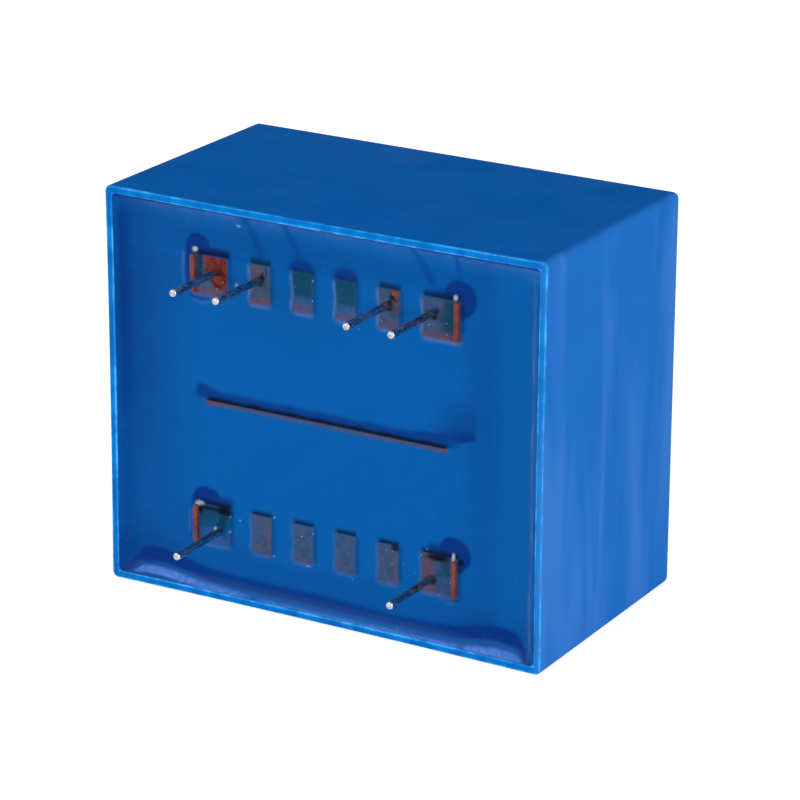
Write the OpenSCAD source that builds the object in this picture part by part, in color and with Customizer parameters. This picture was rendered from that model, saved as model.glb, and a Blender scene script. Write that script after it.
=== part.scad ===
// Encapsulated transformer for a printed circuit board.
// A laminated EI core carries a coil former with two chambers, one for the primary winding and one for
// the two secondary windings. The assembly stands on the floor of an open-mouthed moulded case and is
// cast in resin. Only the pins and the fins of the corner bosses stand out of it; the tops of the pin
// bosses and the edge of the partition lie just under its face.
// The origin is the centre of the pin grid in the plane of the case's mouth, which seats on the board.
// X runs along the pin rows, Y into the case and Z across the pin rows. The pins point towards -Y.

/* [Core] */
// Length of the core, along the pin rows. The sheets keep the proportions of a waste-free EI cut,
// so the tongue, legs, windows and yokes all follow from it.
core_w = 48; // [45:0.5:50]
// Thickness of the stack of laminations
stack = 10.5; // [8:0.5:16]
// Diameter of the holes in the corners of the laminations
core_hole_d = 3.5; // [2.5:0.1:4]

/* [Coil former] */
// Clearance between the core and the coil former
former_gap = 0.15; // [0.1:0.05:0.25]
// Clearance between the flanges and the outer legs
flange_gap = 0.45; // [0.2:0.05:0.5]
// Wall of the tube that carries the windings
tube_wall = 0.8; // [0.6:0.05:1]
// Thickness of the end flanges
flange_t = 0.8; // [0.7:0.05:0.9]
// Thickness of the partition between the chambers
partition_t = 0.8; // [0.6:0.05:1.2]
// Height of the flanges above the tube
coil_room = 7.15; // [6.8:0.05:9]
// Corner radius of the flanges
flange_r = 1.35; // [0.8:0.05:1.6]
// Thickness of the two terminal bars
bar_t = 3; // [2:0.1:3.5]
// Width of the slots that lead the wire ends through the flanges
slot_w = 1; // [0.8:0.1:1.4]

/* [Pins] */
// Pitch of the pin places along a row
pin_pitch = 5; // [4.9:0.02:5.08]
// Distance between the two rows of pins
row_gap = 28; // [27.5:0.1:29]
// Diameter of a pin
pin_d = 0.8; // [0.7:0.05:0.9]
// Length of a pin outside the mouth of the case
pin_out = 7.5; // [3:0.5:10]
// Width of the square shank that holds a pin in its terminal bar
shank_w = 0.6; // [0.5:0.02:0.64]
// Length of a pin beyond the inner side of its terminal bar
pin_tail = 1; // [0.5:0.1:1.5]
// Rounding of the pin tips
pin_tip_r = 0.22; // [0.1:0.01:0.3]

/* [Pin bosses] */
// Width of a boss along the row
boss_w = 2.4; // [2.2:0.1:2.8]
// Length of a boss across the row
boss_l = 4.25; // [3.6:0.05:4.3]
// Reach of a boss beyond the centre of its pin
boss_reach = 1.55; // [1.2:0.05:1.8]
// Rounding of the upright edges of the bosses
boss_r = 0.2; // [0.1:0.02:0.22]
// Depth of the boss tops below the mouth
boss_drop = 0.95; // [0.9:0.05:1.05]
// Height of the bosses above the terminal bars
boss_h = 1.5; // [1.4:0.1:1.8]
// Radius of the recess round the root of a pin
recess_r = 0.95; // [0.9:0.05:1]
// Thickness of the fin on the outer side of each corner boss
fin_t = 0.5; // [0.4:0.05:0.7]
// Length of the fins across the row
fin_l = 4.05; // [3.6:0.05:4.2]
// Height of the fins above the boss tops
fin_h = 0.6; // [0.4:0.05:0.7]

/* [Windings] */
// Room between the outer tape and the edges of the flanges
winding_gap = 1.55; // [0.8:0.05:3]
// Diameter of the primary wire
primary_wire_d = 0.2; // [0.15:0.05:0.25]
// Diameter of the secondary wire
secondary_wire_d = 0.35; // [0.25:0.05:0.35]
// Bend radius of the wire ends
wire_bend = 0.3; // [0.25:0.05:0.35]
// Thickness of the insulating tape
tape_t = 0.2; // [0.1:0.05:0.3]

/* [Moulded case] */
// Thickness of the case walls
case_wall = 0.8; // [0.7:0.05:1.2]
// Thickness of the closed end
case_floor = 1; // [0.8:0.1:2]
// Room between the core and the short walls of the case at its mouth
room_x = 0.7; // [0.5:0.05:1.2]
// Room between the core and the long walls of the case at its mouth
room_z = 0.6; // [0.5:0.05:1.2]
// How far each wall leans in over the depth of the case
draft_w = 0.14; // [0.05:0.01:0.2]
// Radius of the outer corners and of the edges of the closed end
corner_r = 0.7; // [0.4:0.05:0.8]
// Radius of the corners inside the case
inner_r = 0.5; // [0.3:0.05:0.8]
// Clearance between the core and the ribs that centre it
rib_gap = 0.1; // [0.05:0.01:0.2]
// Width of the centring ribs
rib_w = 1; // [0.8:0.1:1.5]
// Diameter of the moulding gate's dimple in the closed end
gate_d = 3; // [2:0.5:4]
// Depth of that dimple
gate_deep = 0.3; // [0.1:0.05:0.4]

/* [Resin] */
// Depth of the resin's level surface below the mouth
resin_drop = 0.85; // [0.75:0.05:0.85]
// Depth at which the resin meets the walls
resin_edge = 0.06; // [0.02:0.02:0.2]
// Width of the curved edge where the resin climbs the walls
meniscus_w = 4; // [2:0.5:5]
// Depth of the partition's edge below the mouth
partition_drop = 0.9; // [0.9:0.05:1]

/* [Hidden] */

round_fn = 48;      // true circles
hull_fn = 32;       // rounds inside a hull
past = 1;           // how far a cutter runs past what it cuts

// Core: the two I sheets are cut from the two windows of a pair of E sheets
leg_w = core_w / 6;
yoke_w = leg_w;
window_w = leg_w;
tongue_w = 2 * leg_w;
window_h = 3 * leg_w;
core_h = window_h + 2 * yoke_w;

// Coil former: half widths measured from the axis of the coil
tube_in_x = tongue_w / 2 + former_gap;
tube_in_y = stack / 2 + former_gap;
tube_x = tube_in_x + tube_wall;
tube_y = tube_in_y + tube_wall;
flange_x = tongue_w / 2 + window_w - flange_gap;
flange_y = tube_y + coil_room;
flange_out = window_h / 2 - former_gap;
flange_in = flange_out - flange_t;
flange_mid = (flange_in + flange_out) / 2;

// Depths below the mouth
coil_axis = partition_drop + flange_y;
floor_y = coil_axis + flange_y;
case_d = floor_y + case_floor;
tube_top = coil_axis - tube_y;
core_top = coil_axis - stack / 2;
bar_top = boss_drop + boss_h;
bar_bottom = bar_top + bar_t;

// Case
case_w = core_w + 2 * (room_x + case_wall);
case_h = core_h + 2 * (room_z + case_wall);

// Pins: the places of a row are counted from 0 on the left
row_places = 6;
row_z = row_gap / 2;
pin_r = pin_d / 2;
pin_end = bar_bottom + pin_tail;
boss_out = row_z + boss_reach;
fin_r = 0.49 * fin_t;
primary_places = [0, 5];
secondary_places = [0, 1, 4, 5];

function place_x(place) = (place - (row_places - 1) / 2) * pin_pitch;

// The wire of a pin comes up through the slot on the side of its boss that faces the middle
function inward(place) = place < row_places / 2 ? 1 : -1;
function slot_x(place) = place_x(place) + inward(place) * pin_pitch / 2;

// Wire ends: each runs through the recess at one depth and hooks round the shank of its pin
hook_in = 0.75 * shank_w;       // inside of the hooks, just clear of the shank's edges
solder_gap = 0.1;               // resin between the solder and the wall of its recess
wire_lift = 0.5;                // height of the wire above the terminal bar
wire_y = bar_top - wire_lift;
lay_h = 0.5;                    // how deep in its winding each wire end leaves it
function hook_r(wire_d) = hook_in + wire_d / 2;

// Windings: the primary fills its chamber, and the two secondaries share theirs equally
build_room = min(flange_x - tube_x, coil_room) - winding_gap;
primary_build = build_room - tape_t;
secondary_build = (build_room - 2 * tape_t) / 2;
outer_lay = secondary_build + tape_t;

// ------------------------------------------------------------ shared shapes

module rounded(w, h, r) {
    // A rectangle with round corners
    square([w - 2 * r, h], center = true);
    square([w, h - 2 * r], center = true);
    for (sx = [-1, 1], sy = [-1, 1])
        translate([sx * (w / 2 - r), sy * (h / 2 - r)]) circle(r = r, $fn = round_fn);
}

module deep(from, to) {
    // Extrudes an outline drawn in X and Z from one depth to another
    translate([0, to, 0]) rotate([90, 0, 0]) linear_extrude(to - from) children();
}

module block(x, y, z) {
    // A box between two limits on each axis
    translate([x[0], y[0], z[0]]) cube([x[1] - x[0], y[1] - y[0], z[1] - z[0]]);
}

module drafted_box(w, h, depth, r, lean, over = 0) {
    // A box with leaning walls, round corners and a round-edged closed end.
    // It starts `over` before the mouth, where its walls keep their lean.
    steps = 6;
    splay = lean * over / depth;
    hull() for (sx = [-1, 1], sz = [-1, 1]) {
        translate([sx * (w / 2 - r + splay), -over, sz * (h / 2 - r + splay)])
            rotate([-90, 0, 0]) cylinder(r = r, h = 0.01, $fn = hull_fn);
        for (i = [0:steps - 1])
            translate([sx * (w / 2 - r - lean), depth - r + r * sin(90 * i / steps), sz * (h / 2 - r - lean)])
                rotate([-90, 0, 0]) cylinder(
                    r1 = r * cos(90 * i / steps),
                    r2 = r * cos(90 * (i + 1) / steps),
                    h = r * (sin(90 * (i + 1) / steps) - sin(90 * i / steps)),
                    $fn = hull_fn);
    }
}

module coil_ring(lay, build, from, to) {
    // A winding or a wrap of tape round the tube, `lay` above it
    translate([0, coil_axis, from]) linear_extrude(to - from) difference() {
        rounded(2 * (tube_x + lay + build), 2 * (tube_y + lay + build), tube_wall + lay + build);
        rounded(2 * (tube_x + lay), 2 * (tube_y + lay), tube_wall + lay);
    }
}

module run(from, to, r) {
    // A straight length of wire along one axis
    way = to - from;
    translate(from) rotate([0, acos(way.z / norm(way)), atan2(way.y, way.x)])
        cylinder(r = r, h = norm(way), $fn = round_fn);
}

module turn(from, heading, next, bend, r, angle = 90) {
    // A bend that starts at a point with one heading and turns towards the next
    side = -next;
    up = cross(side, heading);
    centre = from + bend * next;
    multmatrix([
        [side.x, heading.x, up.x, centre.x],
        [side.y, heading.y, up.y, centre.y],
        [side.z, heading.z, up.z, centre.z],
        [0, 0, 0, 1]
    ]) rotate_extrude(angle = angle, $fn = round_fn) translate([bend, 0]) circle(r = r, $fn = round_fn);
}

module wire(points, bend, r) {
    // A wire through points joined by lengths along the axes, with a bend at each inner point
    last = len(points) - 1;
    ways = [for (i = [0:last - 1]) (points[i + 1] - points[i]) / norm(points[i + 1] - points[i])];
    for (i = [0:last - 1])
        run(points[i] + (i > 0 ? bend : 0) * ways[i],
            points[i + 1] - (i < last - 1 ? bend : 0) * ways[i], r);
    for (i = [1:last - 1])
        turn(points[i] - bend * ways[i - 1], ways[i - 1], ways[i], bend, r);
}

// ------------------------------------------------------------ moulded case

module case_inside(over = 0) {
    drafted_box(case_w - 2 * case_wall, case_h - 2 * case_wall, floor_y, inner_r,
        draft_w * floor_y / case_d, over);
}

module centring_rib(core_face, wall_middle) {
    // A rib on the +X wall, with a lead-in that guides the core between the walls
    face = core_face + rib_gap;
    lead = wall_middle - face;
    translate([0, 0, -rib_w / 2]) linear_extrude(rib_w) polygon([
        [face, core_top], [wall_middle, core_top - lead],
        [wall_middle, floor_y + case_floor / 2], [face, floor_y + case_floor / 2]
    ]);
}

module case_ribs() {
    for (side = [0, 180], along = [-1, 1]) {
        rotate([0, side, 0]) translate([0, 0, along * core_h / 3])
            centring_rib(core_w / 2, (case_w - case_wall) / 2);
        rotate([0, side + 90, 0]) translate([0, 0, along * core_w / 3])
            centring_rib(core_h / 2, (case_h - case_wall) / 2);
    }
}

module case() {
    color([0.05, 0.38, 0.76]) {
        difference() {
            drafted_box(case_w, case_h, case_d, corner_r, draft_w);
            case_inside(over = past);
            translate([0, case_d - gate_deep, 0]) rotate([-90, 0, 0])
                cylinder(d = gate_d, h = gate_deep + past, $fn = round_fn);
        }
        case_ribs();
    }
}

// ------------------------------------------------------------ core

module core_holes() {
    for (sx = [-1, 1], sz = [-1, 1])
        translate([sx * (core_w - leg_w) / 2, sz * (core_h - yoke_w) / 2])
            circle(d = core_hole_d, $fn = round_fn);
}

module e_laminations() {
    color([0.42, 0.44, 0.47]) deep(core_top, core_top + stack) difference() {
        translate([-core_w / 2, -core_h / 2]) square([core_w, core_h - yoke_w]);
        for (side = [-1, 1])
            translate([side * (tongue_w + window_w) / 2, past / 2])
                square([window_w, window_h + past], center = true);
        core_holes();
    }
}

module i_laminations() {
    color([0.5, 0.52, 0.55]) deep(core_top, core_top + stack) difference() {
        translate([-core_w / 2, window_h / 2]) square([core_w, yoke_w]);
        core_holes();
    }
}

// ------------------------------------------------------------ coil former

module flange(from, to, top) {
    // A plate round the tube that stands on the floor of the case
    translate([0, (top + floor_y) / 2, from]) linear_extrude(to - from)
        rounded(2 * flange_x, floor_y - top, flange_r);
}

module boss(place) {
    // One pin boss. Those at the corners reach out to the edge of the flange and end in a fin.
    x = place_x(place);
    left = place == 0 ? -flange_x : x - boss_w / 2;
    right = place == row_places - 1 ? flange_x : x + boss_w / 2;
    deep(boss_drop, bar_top) translate([(left + right) / 2, boss_out - boss_l / 2])
        rounded(right - left, boss_l, boss_r);
}

module fin(side) {
    x = side * (flange_x - fin_t / 2);
    deep(boss_drop - fin_h, bar_top) translate([x, boss_out - fin_l / 2])
        rounded(fin_t, fin_l, fin_r);
}

module terminal_side(places) {
    // The flange, terminal bar and bosses of the +Z end, with pins in the places given
    difference() {
        union() {
            flange(flange_in, flange_out, bar_top);
            block([-flange_x, flange_x], [bar_top, bar_bottom], [flange_in, boss_out]);
            for (place = [0:row_places - 1]) boss(place);
            for (side = [-1, 1]) {
                fin(side);
                cheek(side);
            }
        }
        for (place = [0:row_places - 1]) shank(place, boss_drop - past, bar_bottom + past);
        for (place = [0:row_places - 2]) wire_slot(place_x(place) + pin_pitch / 2);
        for (place = places) pin_recess(place);
    }
}

module cheek(side) {
    // A gusset under each end of the terminal bar
    foot = core_top - former_gap;
    x = side * (flange_x - flange_t / 2) - flange_t / 2;
    translate([x, 0, 0]) rotate([90, 0, 90]) linear_extrude(flange_t) polygon([
        [bar_bottom - bar_t / 2, flange_mid], [foot, flange_mid], [foot, flange_out + former_gap],
        [bar_bottom, boss_out], [bar_bottom - bar_t / 2, boss_out]
    ]);
}

module wire_slot(x) {
    block([x - slot_w / 2, x + slot_w / 2], [bar_top - past, tube_top], [flange_in - past, flange_out + former_gap]);
}

module pin_recess(place) {
    // The recess for the hook and the solder, and the notch through which the wire comes in
    x = place_x(place);
    wire_z = row_z - hook_r(secondary_wire_d);
    notch = secondary_wire_d + former_gap;
    translate([x, bar_top, row_z]) rotate([90, 0, 0])
        cylinder(r = recess_r, h = boss_h + past, $fn = round_fn);
    block([min(x, slot_x(place)), max(x, slot_x(place))], [boss_drop - past, bar_top],
        [wire_z - notch / 2, wire_z + notch / 2]);
}

module bobbin() {
    color([0.55, 0.24, 0.19]) difference() {
        union() {
            translate([0, coil_axis, -flange_mid]) linear_extrude(2 * flange_mid)
                rounded(2 * tube_x, 2 * tube_y, tube_wall);
            flange(-partition_t / 2, partition_t / 2, partition_drop);
            terminal_side(secondary_places);
            mirror([0, 0, 1]) terminal_side(primary_places);
        }
        block([-tube_in_x, tube_in_x], [coil_axis - tube_in_y, coil_axis + tube_in_y],
            [-window_h / 2, window_h / 2]);
    }
}

// ------------------------------------------------------------ windings and tape

module wire_end(place, lay, wire_d) {
    // A wire end on the +Z side: out of the winding through the flange's slot, over the terminal bar
    // and three quarters of a turn round the pin
    x = slot_x(place);
    wire_z = row_z - hook_r(wire_d);
    start_y = tube_top - lay;
    along = [-inward(place), 0, 0];
    wire([
        [x, start_y, flange_in - wire_bend],
        [x, start_y, flange_mid],
        [x, wire_y, flange_mid],
        [x, wire_y, wire_z],
        [place_x(place), wire_y, wire_z]
    ], wire_bend, wire_d / 2);
    turn([place_x(place), wire_y, wire_z], along, [0, 0, 1], hook_r(wire_d), wire_d / 2, 270);
}

module secondary_end(number) {
    // The wire end that goes to one of the four secondary pins
    lays = [lay_h, secondary_build - lay_h,
        outer_lay + secondary_build - lay_h, outer_lay + lay_h];
    wire_end(secondary_places[number - 1], lays[number - 1], secondary_wire_d);
}

module primary_end(number) {
    // The wire end that goes to one of the two primary pins, on the -Z side
    lays = [lay_h, primary_build - lay_h];
    mirror([0, 0, 1]) wire_end(primary_places[number - 1], lays[number - 1], primary_wire_d);
}

module primary_winding() {
    color([0.72, 0.42, 0.2]) {
        coil_ring(0, primary_build, -flange_in, -partition_t / 2);
        primary_end(1);
        primary_end(2);
    }
}

module primary_tape() {
    color([0.9, 0.78, 0.3]) coil_ring(primary_build, tape_t, -flange_in, -partition_t / 2);
}

module secondary_winding_1() {
    color([0.78, 0.48, 0.24]) {
        coil_ring(0, secondary_build, partition_t / 2, flange_in);
        secondary_end(1);
        secondary_end(2);
    }
}

module interlayer_tape() {
    color([0.93, 0.84, 0.45]) coil_ring(secondary_build, tape_t, partition_t / 2, flange_in);
}

module secondary_winding_2() {
    color([0.84, 0.53, 0.27]) {
        coil_ring(outer_lay, secondary_build, partition_t / 2, flange_in);
        secondary_end(3);
        secondary_end(4);
    }
}

module secondary_tape() {
    color([0.9, 0.78, 0.3])
        coil_ring(outer_lay + secondary_build, tape_t, partition_t / 2, flange_in);
}

// ------------------------------------------------------------ pins and solder

module shank(place, from, to) {
    // The square part of a pin on the +Z side, or the hole that it is pressed into
    deep(from, to) translate([place_x(place), row_z]) square(shank_w, center = true);
}

module pin(place) {
    // A pin on the +Z side: a square shank up to the face of the resin, then round with a rounded tip
    length = resin_drop + pin_out;
    steps = 4;
    color([0.8, 0.81, 0.83]) {
        translate([place_x(place), resin_drop, row_z]) rotate([90, 0, 0])
            rotate_extrude($fn = round_fn) polygon(concat(
                [[0, 0], [pin_r, 0]],
                [for (i = [0:steps]) [pin_r - pin_tip_r + pin_tip_r * cos(90 * i / steps),
                    length - pin_tip_r + pin_tip_r * sin(90 * i / steps)]],
                [[0, length]]
            ));
        shank(place, resin_drop, pin_end);
    }
}

module solder(place) {
    // The joint at the root of a pin: it fills round the hook and tapers up the pin
    foot_r = recess_r - solder_gap;
    shoulder = 2 * wire_lift - solder_gap;
    top = boss_h - solder_gap;
    steps = 5;
    difference() {
        translate([place_x(place), bar_top, row_z]) rotate([90, 0, 0])
            rotate_extrude($fn = round_fn) polygon(concat(
                [[0, 0], [foot_r, 0]],
                [for (i = [0:steps]) [foot_r - (foot_r - hook_in) * sin(90 * i / steps),
                    shoulder + (top - shoulder) * (1 - cos(90 * i / steps))]],
                [[0, top]]
            ));
        shank(place, boss_drop, pin_end);
    }
}

module secondary_pin(number) {
    pin(secondary_places[number - 1]);
}

module primary_pin(number) {
    mirror([0, 0, 1]) pin(primary_places[number - 1]);
}

module secondary_solder(number) {
    color([0.68, 0.69, 0.7]) difference() {
        solder(secondary_places[number - 1]);
        secondary_end(number);
    }
}

module primary_solder(number) {
    color([0.68, 0.69, 0.7]) difference() {
        mirror([0, 0, 1]) solder(primary_places[number - 1]);
        primary_end(number);
    }
}

// ------------------------------------------------------------ resin

module air_over_resin() {
    // All that lies before the mouth, and the shallow dish above the resin, which climbs the walls
    steps = 6;
    climb = 2.5;
    deep(-2 * past, 0) rounded(case_w, case_h, corner_r);
    hull() for (i = [0:steps]) {
        inset = meniscus_w * i / steps;
        depth = resin_edge + (resin_drop - resin_edge) * (1 - pow(1 - i / steps, climb));
        deep(-past, depth) rounded(
            case_w - 2 * (case_wall + inset), case_h - 2 * (case_wall + inset), inner_r + inset / 2,
            $fn = hull_fn);
    }
}

module potting_resin() {
    color([0.0, 0.36, 0.66]) difference() {
        case_inside(over = past);
        air_over_resin();
        case_ribs();
        bobbin();
        e_laminations();
        i_laminations();
        primary_winding();
        primary_tape();
        secondary_winding_1();
        interlayer_tape();
        secondary_winding_2();
        secondary_tape();
        for (number = [1, 2]) {
            primary_pin(number);
            primary_solder(number);
        }
        for (number = [1:4]) {
            secondary_pin(number);
            secondary_solder(number);
        }
    }
}

// ------------------------------------------------------------ nodes

case();
potting_resin();
bobbin();
e_laminations();
i_laminations();
primary_winding();
primary_tape();
secondary_winding_1();
interlayer_tape();
secondary_winding_2();
secondary_tape();
primary_pin(1);  // primary_pin_1
primary_pin(2);  // primary_pin_2
secondary_pin(1);  // secondary_pin_1
secondary_pin(2);  // secondary_pin_2
secondary_pin(3);  // secondary_pin_3
secondary_pin(4);  // secondary_pin_4
primary_solder(1);  // primary_solder_1
primary_solder(2);  // primary_solder_2
secondary_solder(1);  // secondary_solder_1
secondary_solder(2);  // secondary_solder_2
secondary_solder(3);  // secondary_solder_3
secondary_solder(4);  // secondary_solder_4
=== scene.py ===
"""An encapsulated circuit-board transformer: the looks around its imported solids.

Lengths are written in millimetres, and MM turns them into metres.
The mouth of the case is the plane y = 0, the resin lies behind it and the pins point to -Y.
Row A of pin bosses is the upper one, with four pins, and row B the lower one, with two.
"""

import math

import bmesh
import bpy
import numpy as np
from mathutils import Matrix, Vector


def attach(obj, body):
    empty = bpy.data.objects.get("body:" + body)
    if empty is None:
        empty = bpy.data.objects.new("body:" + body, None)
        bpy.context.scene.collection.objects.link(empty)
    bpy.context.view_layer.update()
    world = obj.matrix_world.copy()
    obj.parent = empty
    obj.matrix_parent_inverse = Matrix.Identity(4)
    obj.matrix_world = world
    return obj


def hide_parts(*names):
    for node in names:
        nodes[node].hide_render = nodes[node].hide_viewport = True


MM = 0.001

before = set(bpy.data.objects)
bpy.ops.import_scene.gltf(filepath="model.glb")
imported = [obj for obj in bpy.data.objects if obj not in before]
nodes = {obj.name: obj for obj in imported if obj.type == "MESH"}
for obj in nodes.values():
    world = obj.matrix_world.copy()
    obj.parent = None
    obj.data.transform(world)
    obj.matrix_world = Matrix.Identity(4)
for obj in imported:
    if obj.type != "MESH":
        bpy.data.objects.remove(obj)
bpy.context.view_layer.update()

# ------------------------------------------------------------ sizes shared with the solids

CASE_W, CASE_H, CASE_D = 51.0, 42.8, 28.6
WALL, FLOOR_T = 0.8, 1.0
LEAN = 0.14
CORNER_R, INNER_R = 0.7, 0.5
GATE_D, GATE_DEEP = 3.0, 0.3
IN_X, IN_Z = CASE_W / 2 - WALL, CASE_H / 2 - WALL
ROW_Z, PITCH = 14.0, 5.0
BOSS_OUT, BOSS_L, BOSS_W = 15.55, 4.25, 2.4
FLANGE_X, FIN_T = 15.55, 0.5
RESIN_DROP, RESIN_EDGE = 0.85, 0.08


def place_x(place):
    return (place - 2.5) * PITCH


# ------------------------------------------------------------ shader helpers

def new_material(name):
    material = bpy.data.materials.new(name)
    material.use_nodes = True
    tree = material.node_tree
    shader = tree.nodes["Principled BSDF"]
    return material, tree, shader


def node(tree, kind, inputs=None, **settings):
    made = tree.nodes.new(kind)
    for key, value in settings.items():
        setattr(made, key, value)
    for key, value in (inputs or {}).items():
        socket = made.inputs[key]
        if isinstance(value, bpy.types.NodeSocket):
            tree.links.new(value, socket)
        else:
            socket.default_value = value
    return made


def colour(r, g, b):
    """A display colour in 0..255 as a linear one."""
    def linear(value):
        value /= 255
        return value / 12.92 if value <= 0.04045 else ((value + 0.055) / 1.055) ** 2.4
    return (linear(r), linear(g), linear(b), 1.0)


def mix(tree, factor, low, high, blend="MIX"):
    made = node(tree, "ShaderNodeMix", data_type="RGBA", blend_type=blend, clamp_factor=True)
    for index, value in ((0, factor), (6, low), (7, high)):
        if isinstance(value, bpy.types.NodeSocket):
            tree.links.new(value, made.inputs[index])
        else:
            made.inputs[index].default_value = value
    return made.outputs[2]


def spread(tree, value, low, high, out_low=0.0, out_high=1.0, smooth=True):
    made = node(tree, "ShaderNodeMapRange", {0: value, 1: low, 2: high, 3: out_low, 4: out_high},
                clamp=True, interpolation_type="SMOOTHSTEP" if smooth else "LINEAR")
    return made.outputs[0]


def maths(tree, operation, a, b=0.0):
    return node(tree, "ShaderNodeMath", {0: a, 1: b}, operation=operation).outputs[0]


def place_of(tree, scale=(1, 1, 1)):
    """Object coordinates in millimetres, stretched by `scale`."""
    coords = node(tree, "ShaderNodeTexCoord").outputs["Object"]
    stretch = [s / MM for s in scale]
    return node(tree, "ShaderNodeMapping", {"Vector": coords, "Scale": stretch}).outputs["Vector"]


def axes_of(tree):
    """The three object coordinates in millimetres."""
    return node(tree, "ShaderNodeSeparateXYZ", {"Vector": place_of(tree)}).outputs


def noise(tree, where, scale, detail=3.0, roughness=0.5, distortion=0.0):
    return node(tree, "ShaderNodeTexNoise",
                {"Vector": where, "Scale": scale, "Detail": detail, "Roughness": roughness,
                 "Distortion": distortion}).outputs["Fac"]


def specks(tree, where, scale, size, share):
    """Small crisp dots: `size` is their reach and `share` how many of the cells hold one."""
    cells = node(tree, "ShaderNodeTexVoronoi", {"Vector": where, "Scale": scale}, feature="F1").outputs
    chosen = node(tree, "ShaderNodeSeparateColor", {"Color": cells["Color"]}).outputs[0]
    dot = spread(tree, cells["Distance"], size, 0.4 * size)
    return maths(tree, "MULTIPLY", dot, maths(tree, "LESS_THAN", chosen, share))


def bump(tree, height, strength, distance, normal=None):
    inputs = {"Height": height, "Strength": strength, "Distance": distance * MM}
    if normal is not None:
        inputs["Normal"] = normal
    return node(tree, "ShaderNodeBump", inputs).outputs["Normal"]


def attribute(tree, name):
    made = node(tree, "ShaderNodeAttribute", attribute_name=name)
    split = node(tree, "ShaderNodeSeparateColor", {"Color": made.outputs["Color"]})
    return split.outputs[0], split.outputs[1], split.outputs[2]


def dress(obj, material):
    obj.data.materials.clear()
    obj.data.materials.append(material)


# ------------------------------------------------------------ mesh helpers

def finish_piece(bm, name, material, smooth=True):
    mesh = bpy.data.meshes.new(name)
    bm.normal_update()
    bm.to_mesh(mesh)
    bm.free()
    if smooth:
        mesh.shade_smooth()
        mesh.set_sharp_from_angle(angle=math.radians(40))
    obj = bpy.data.objects.new(name, mesh)
    bpy.context.scene.collection.objects.link(obj)
    dress(obj, material)
    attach(obj, "root")
    return obj


def round_edges(bm, edges, width, segments):
    bmesh.ops.bevel(bm, geom=list(edges), offset=width, offset_type="OFFSET", segments=segments,
                    profile=0.5, affect="EDGES", clamp_overlap=True, material=-1)


def cut(bm, point, normal):
    bmesh.ops.bisect_plane(bm, geom=bm.verts[:] + bm.edges[:] + bm.faces[:], dist=1e-7,
                           plane_co=point, plane_no=normal)


def level(edge_or_face, depth):
    """Whether an edge or a face lies wholly at one depth."""
    return all(abs(vert.co.y - depth * MM) < 1e-7 for vert in edge_or_face.verts)


# ------------------------------------------------------------ case

def add_shell(bm, width, height, depth, corner):
    """A box open at the mouth, with round upright edges and a round-edged closed end."""
    before = set(bm.verts)
    made = bmesh.ops.create_cube(bm, size=1.0)["verts"]
    bmesh.ops.scale(bm, vec=(width * MM, depth * MM, height * MM), verts=made)
    bmesh.ops.translate(bm, vec=(0, depth / 2 * MM, 0), verts=made)
    own_edges = {edge for vert in made for edge in vert.link_edges}
    round_edges(bm, [e for e in own_edges if abs(e.verts[0].co.y - e.verts[1].co.y) > MM], corner * MM, 6)
    own = [vert for vert in bm.verts if vert not in before]
    round_edges(bm, {e for vert in own for e in vert.link_edges if level(e, depth)}, 0.98 * corner * MM, 5)
    own = [vert for vert in bm.verts if vert not in before]
    mouth = {face for vert in own for face in vert.link_faces if level(face, 0)}
    bmesh.ops.delete(bm, geom=list(mouth), context="FACES")


def press_gate(bm):
    """The moulding gate's round dimple in the middle of the closed end."""
    end = max((face for face in bm.faces if level(face, CASE_D)), key=lambda face: face.calc_area())
    outline = list(end.edges)
    bmesh.ops.delete(bm, geom=[end], context="FACES_ONLY")
    turn = Matrix.Translation((0, CASE_D * MM, 0)) @ Matrix.Rotation(math.radians(90), 4, "X")
    ring = bmesh.ops.create_circle(bm, cap_ends=False, segments=len(outline), radius=GATE_D / 2 * MM, matrix=turn)
    circle = list({edge for vert in ring["verts"] for edge in vert.link_edges})
    bmesh.ops.bridge_loops(bm, edges=outline + circle)
    sunk = bmesh.ops.extrude_edge_only(bm, edges=circle)["geom"]
    lower = [item for item in sunk if isinstance(item, bmesh.types.BMVert)]
    bmesh.ops.translate(bm, vec=(0, -GATE_DEEP * MM, 0), verts=lower)
    bmesh.ops.holes_fill(bm, edges=[item for item in sunk if isinstance(item, bmesh.types.BMEdge)
                                    and item.is_boundary])


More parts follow.
